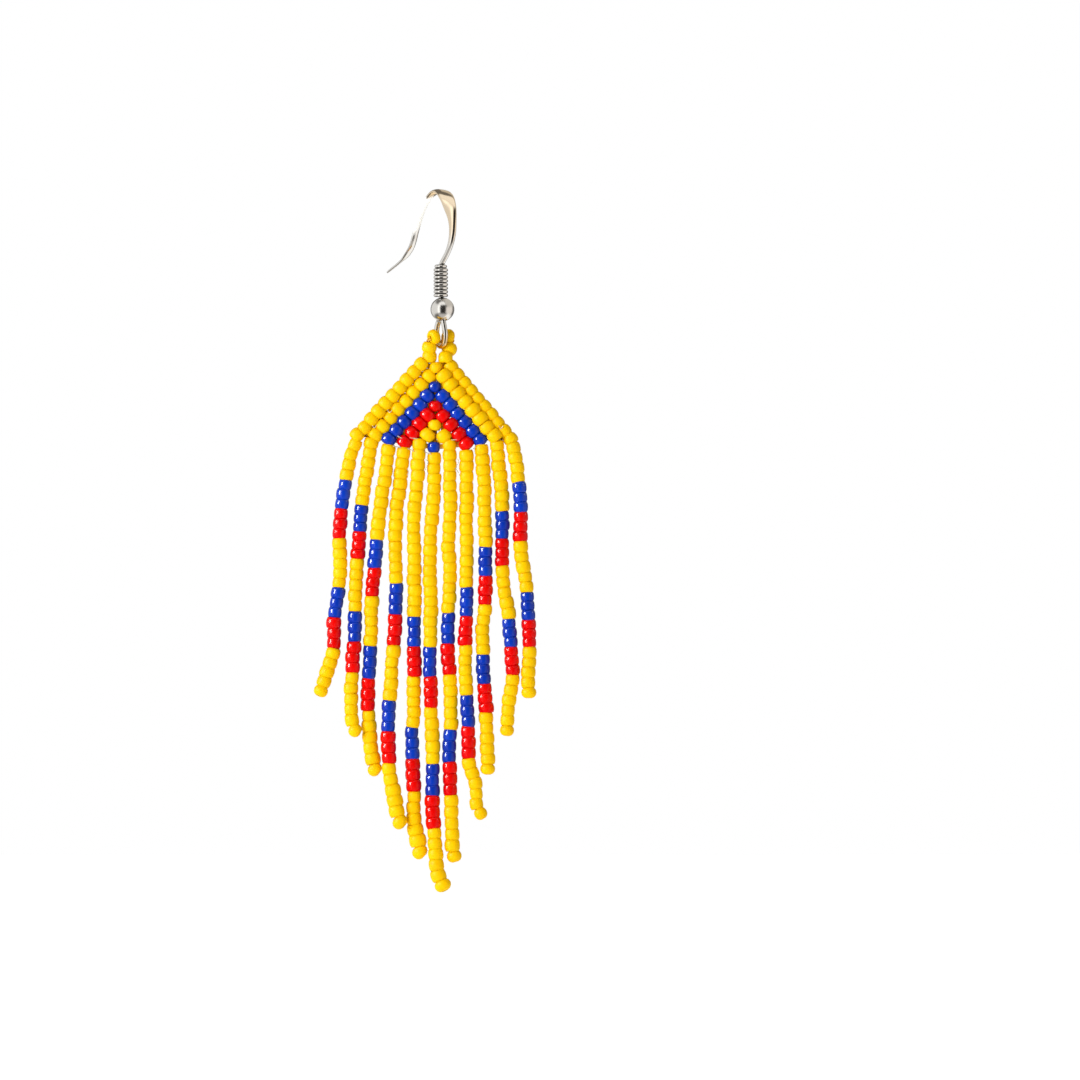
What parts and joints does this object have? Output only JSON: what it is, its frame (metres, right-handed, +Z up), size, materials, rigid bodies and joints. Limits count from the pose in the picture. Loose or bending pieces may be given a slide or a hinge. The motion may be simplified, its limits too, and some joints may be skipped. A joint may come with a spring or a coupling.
{
  "type": "beaded fringe earring",
  "caption": "Drop earring for a pierced ear: a wire ear hook with a coil and ball carries a woven triangle of seed beads with a long bead fringe.",
  "frame": {"origin": "inside of the hook's arch, where the ear carries the earring", "axes": "+Z up along the hanging earring, +X to the right as seen from the front, +Y to the back; the beadwork's front faces -Y, and the hook's open side turns back and to the left"},
  "size_m": [0.0316, 0.0146, 0.1003],
  "materials": {
    "polished_steel": "polished silver-tone steel wire",
    "yellow_beads": "opaque yellow seed beads of tumbled glass",
    "blue_beads": "opaque royal blue seed beads of glossy glass",
    "red_beads": "opaque red seed beads of glossy glass",
    "clear_thread": "fine clear nylon thread"
  },
  "bodies": {
    "hook": {"ear_hook": "polished_steel", "hook_coil": "polished_steel", "hook_ball": "polished_steel"},
    "drop": {"loop_beads": "yellow_beads", "loop_thread": "clear_thread", "bead_panel": "yellow_beads", "strand_01": "yellow_beads", "strand_02": "yellow_beads", "strand_03": "yellow_beads", "strand_04": "yellow_beads", "strand_05": "yellow_beads", "strand_06": "yellow_beads", "strand_07": "yellow_beads", "strand_08": "yellow_beads", "strand_09": "yellow_beads", "strand_10": "yellow_beads", "strand_11": "yellow_beads"}
  },
  "joints": [
    {"name": "drop_swing", "type": "hinge", "parent": "hook", "child": "drop", "pos_m": [0.00042, -0.00062, -0.02186], "axis": [0.5592, -0.829, 0], "range_deg": [-12, 12]}
  ]
}
